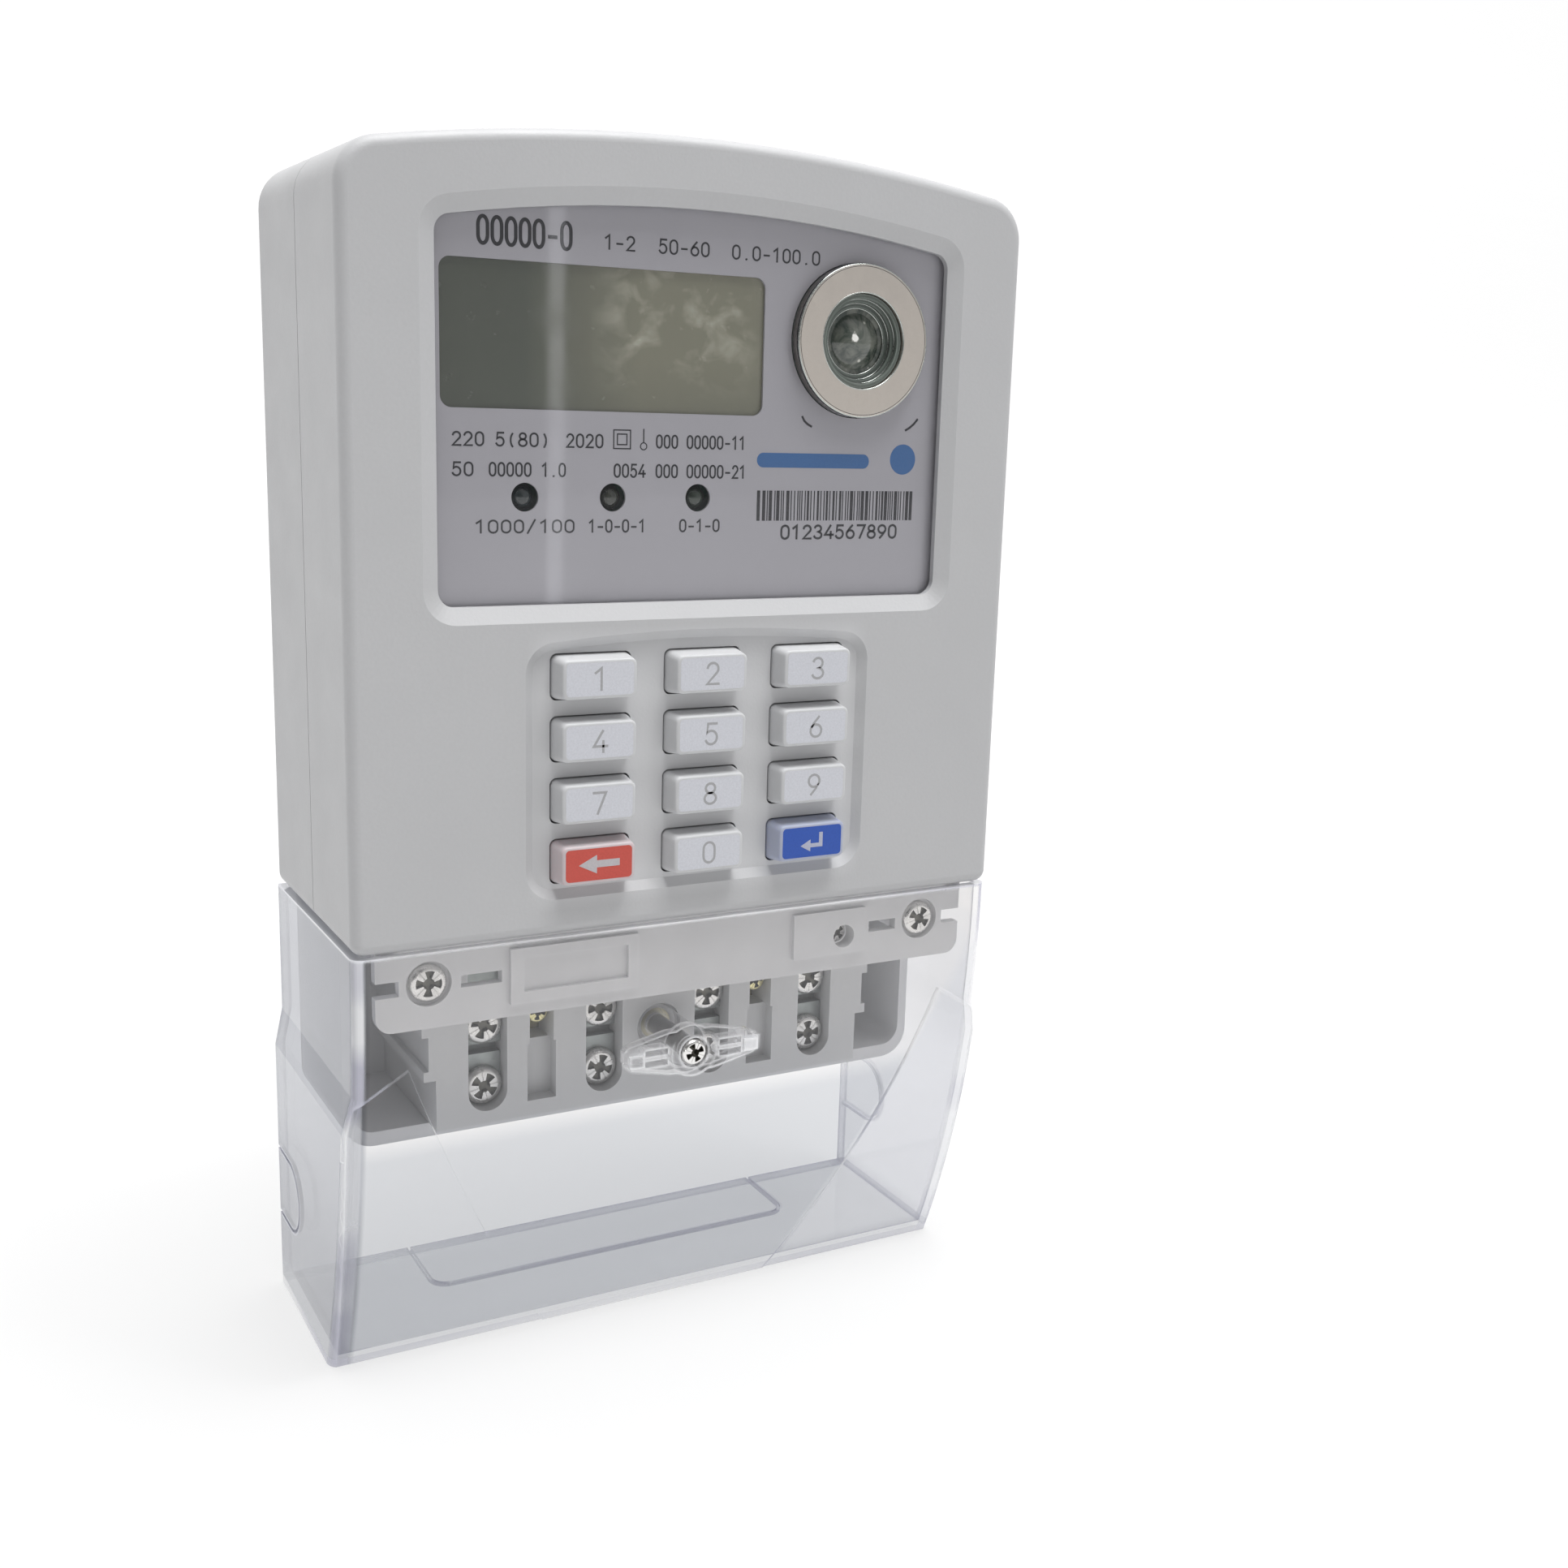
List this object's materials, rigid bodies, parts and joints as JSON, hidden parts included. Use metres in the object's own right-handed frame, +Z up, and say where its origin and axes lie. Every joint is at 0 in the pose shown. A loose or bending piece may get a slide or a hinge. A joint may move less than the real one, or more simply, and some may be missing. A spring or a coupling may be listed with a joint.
{
  "type": "prepaid electricity meter",
  "caption": "Wall electricity meter with an arched case, display window, optical port, numeric keypad and a long clear terminal cover over screw terminals.",
  "frame": {"origin": "under the middle of the meter, on the surface that the terminal cover stands on, half way between key tops and wall", "axes": "+Z up the meter, +Y into the wall, +X to the right of a person facing the meter"},
  "size_m": [0.1372, 0.0584, 0.2285],
  "materials": {
    "case_plastic": "fine spark texture, light grey",
    "block_plastic": "moulded, light grey",
    "clear_plastic": "clear, faint violet tint",
    "pane_plastic": "clear polished",
    "label_silver": "printed silver film",
    "display_glass": "polarised, olive grey",
    "diffuser_white": "white diffuser",
    "lamp_lens": "smoked lamp, unlit",
    "plated_steel": "nickel plated",
    "black_plastic": "black",
    "key_white": "satin white keycap",
    "key_red": "satin keycap with red patch",
    "key_blue": "satin keycap with blue patch",
    "grey_rubber": "silicone",
    "board_green": "solder mask",
    "can_aluminium": "sleeved can",
    "varistor_blue": "dipped",
    "copper": "bare copper, brass density",
    "plated_brass": "tin plated",
    "brass": "bright"
  },
  "bodies": {
    "meter": {"front_case": "case_plastic", "rear_base": "case_plastic", "terminal_block": "block_plastic", "terminal_carrier": "block_plastic", "window_pane": "pane_plastic", "port_lens": "pane_plastic", "label_plate": "label_silver", "display_glass": "display_glass", "display_light_guide": "diffuser_white", "lamp_pulse": "lamp_lens", "lamp_warning": "lamp_lens", "lamp_credit": "lamp_lens", "port_ring": "plated_steel", "wall_hanger": "plated_steel", "terminal_screws": "plated_steel", "case_screws": "plated_steel", "service_screw": "plated_steel", "board_spacers": "plated_steel", "display_board_screws": "plated_steel", "main_board_screws": "plated_steel", "port_well": "black_plastic", "infrared_diodes": "black_plastic", "board_chips": "black_plastic", "latching_relay": "black_plastic", "supply_transformer": "black_plastic", "buzzer": "black_plastic", "keypad_mat": "grey_rubber", "case_gasket": "grey_rubber", "display_board": "board_green", "main_board": "board_green", "link_board": "board_green", "smoothing_capacitors": "can_aluminium", "backup_battery": "can_aluminium", "surge_varistor": "varistor_blue", "current_shunt": "copper", "line_in_bar": "copper", "line_out_bar": "copper", "neutral_bar": "copper", "terminal_line_in": "plated_brass", "terminal_line_out": "plated_brass", "terminal_neutral_in": "plated_brass", "terminal_neutral_out": "plated_brass", "aux_terminals": "brass", "aux_screws": "brass", "screw_insert": "brass"},
    "key_1_body": {"key_1": "key_white"},
    "key_2_body": {"key_2": "key_white"},
    "key_3_body": {"key_3": "key_white"},
    "key_4_body": {"key_4": "key_white"},
    "key_5_body": {"key_5": "key_white"},
    "key_6_body": {"key_6": "key_white"},
    "key_7_body": {"key_7": "key_white"},
    "key_8_body": {"key_8": "key_white"},
    "key_9_body": {"key_9": "key_white"},
    "key_delete_body": {"key_delete": "key_red"},
    "key_0_body": {"key_0": "key_white"},
    "key_enter_body": {"key_enter": "key_blue"},
    "cover": {"terminal_cover": "clear_plastic"},
    "sealing_screw": {"cover_screw": "plated_steel"}
  },
  "joints": [
    {"name": "key_1_press", "type": "slide", "parent": "meter", "child": "key_1_body", "axis": [0, 1, 0], "range_m": [0, 0.001], "stiffness_N_per_m": 800, "springref_m": -0.0003},
    {"name": "key_2_press", "type": "slide", "parent": "meter", "child": "key_2_body", "axis": [0, 1, 0], "range_m": [0, 0.001], "stiffness_N_per_m": 800, "springref_m": -0.0003},
    {"name": "key_3_press", "type": "slide", "parent": "meter", "child": "key_3_body", "axis": [0, 1, 0], "range_m": [0, 0.001], "stiffness_N_per_m": 800, "springref_m": -0.0003},
    {"name": "key_4_press", "type": "slide", "parent": "meter", "child": "key_4_body", "axis": [0, 1, 0], "range_m": [0, 0.001], "stiffness_N_per_m": 800, "springref_m": -0.0003},
    {"name": "key_5_press", "type": "slide", "parent": "meter", "child": "key_5_body", "axis": [0, 1, 0], "range_m": [0, 0.001], "stiffness_N_per_m": 800, "springref_m": -0.0003},
    {"name": "key_6_press", "type": "slide", "parent": "meter", "child": "key_6_body", "axis": [0, 1, 0], "range_m": [0, 0.001], "stiffness_N_per_m": 800, "springref_m": -0.0003},
    {"name": "key_7_press", "type": "slide", "parent": "meter", "child": "key_7_body", "axis": [0, 1, 0], "range_m": [0, 0.001], "stiffness_N_per_m": 800, "springref_m": -0.0003},
    {"name": "key_8_press", "type": "slide", "parent": "meter", "child": "key_8_body", "axis": [0, 1, 0], "range_m": [0, 0.001], "stiffness_N_per_m": 800, "springref_m": -0.0003},
    {"name": "key_9_press", "type": "slide", "parent": "meter", "child": "key_9_body", "axis": [0, 1, 0], "range_m": [0, 0.001], "stiffness_N_per_m": 800, "springref_m": -0.0003},
    {"name": "key_delete_press", "type": "slide", "parent": "meter", "child": "key_delete_body", "axis": [0, 1, 0], "range_m": [0, 0.001], "stiffness_N_per_m": 800, "springref_m": -0.0003},
    {"name": "key_0_press", "type": "slide", "parent": "meter", "child": "key_0_body", "axis": [0, 1, 0], "range_m": [0, 0.001], "stiffness_N_per_m": 800, "springref_m": -0.0003},
    {"name": "key_enter_press", "type": "slide", "parent": "meter", "child": "key_enter_body", "axis": [0, 1, 0], "range_m": [0, 0.001], "stiffness_N_per_m": 800, "springref_m": -0.0003},
    {"name": "cover_pull", "type": "slide", "parent": "meter", "child": "cover", "axis": [0, -1, 0], "range_m": [0, 0.075]},
    {"name": "sealing_screw_turn", "type": "hinge", "parent": "cover", "child": "sealing_screw", "pos_m": [0, -0.0229, 0.0591], "axis": [0, 1, 0], "continuous": true}
  ]
}
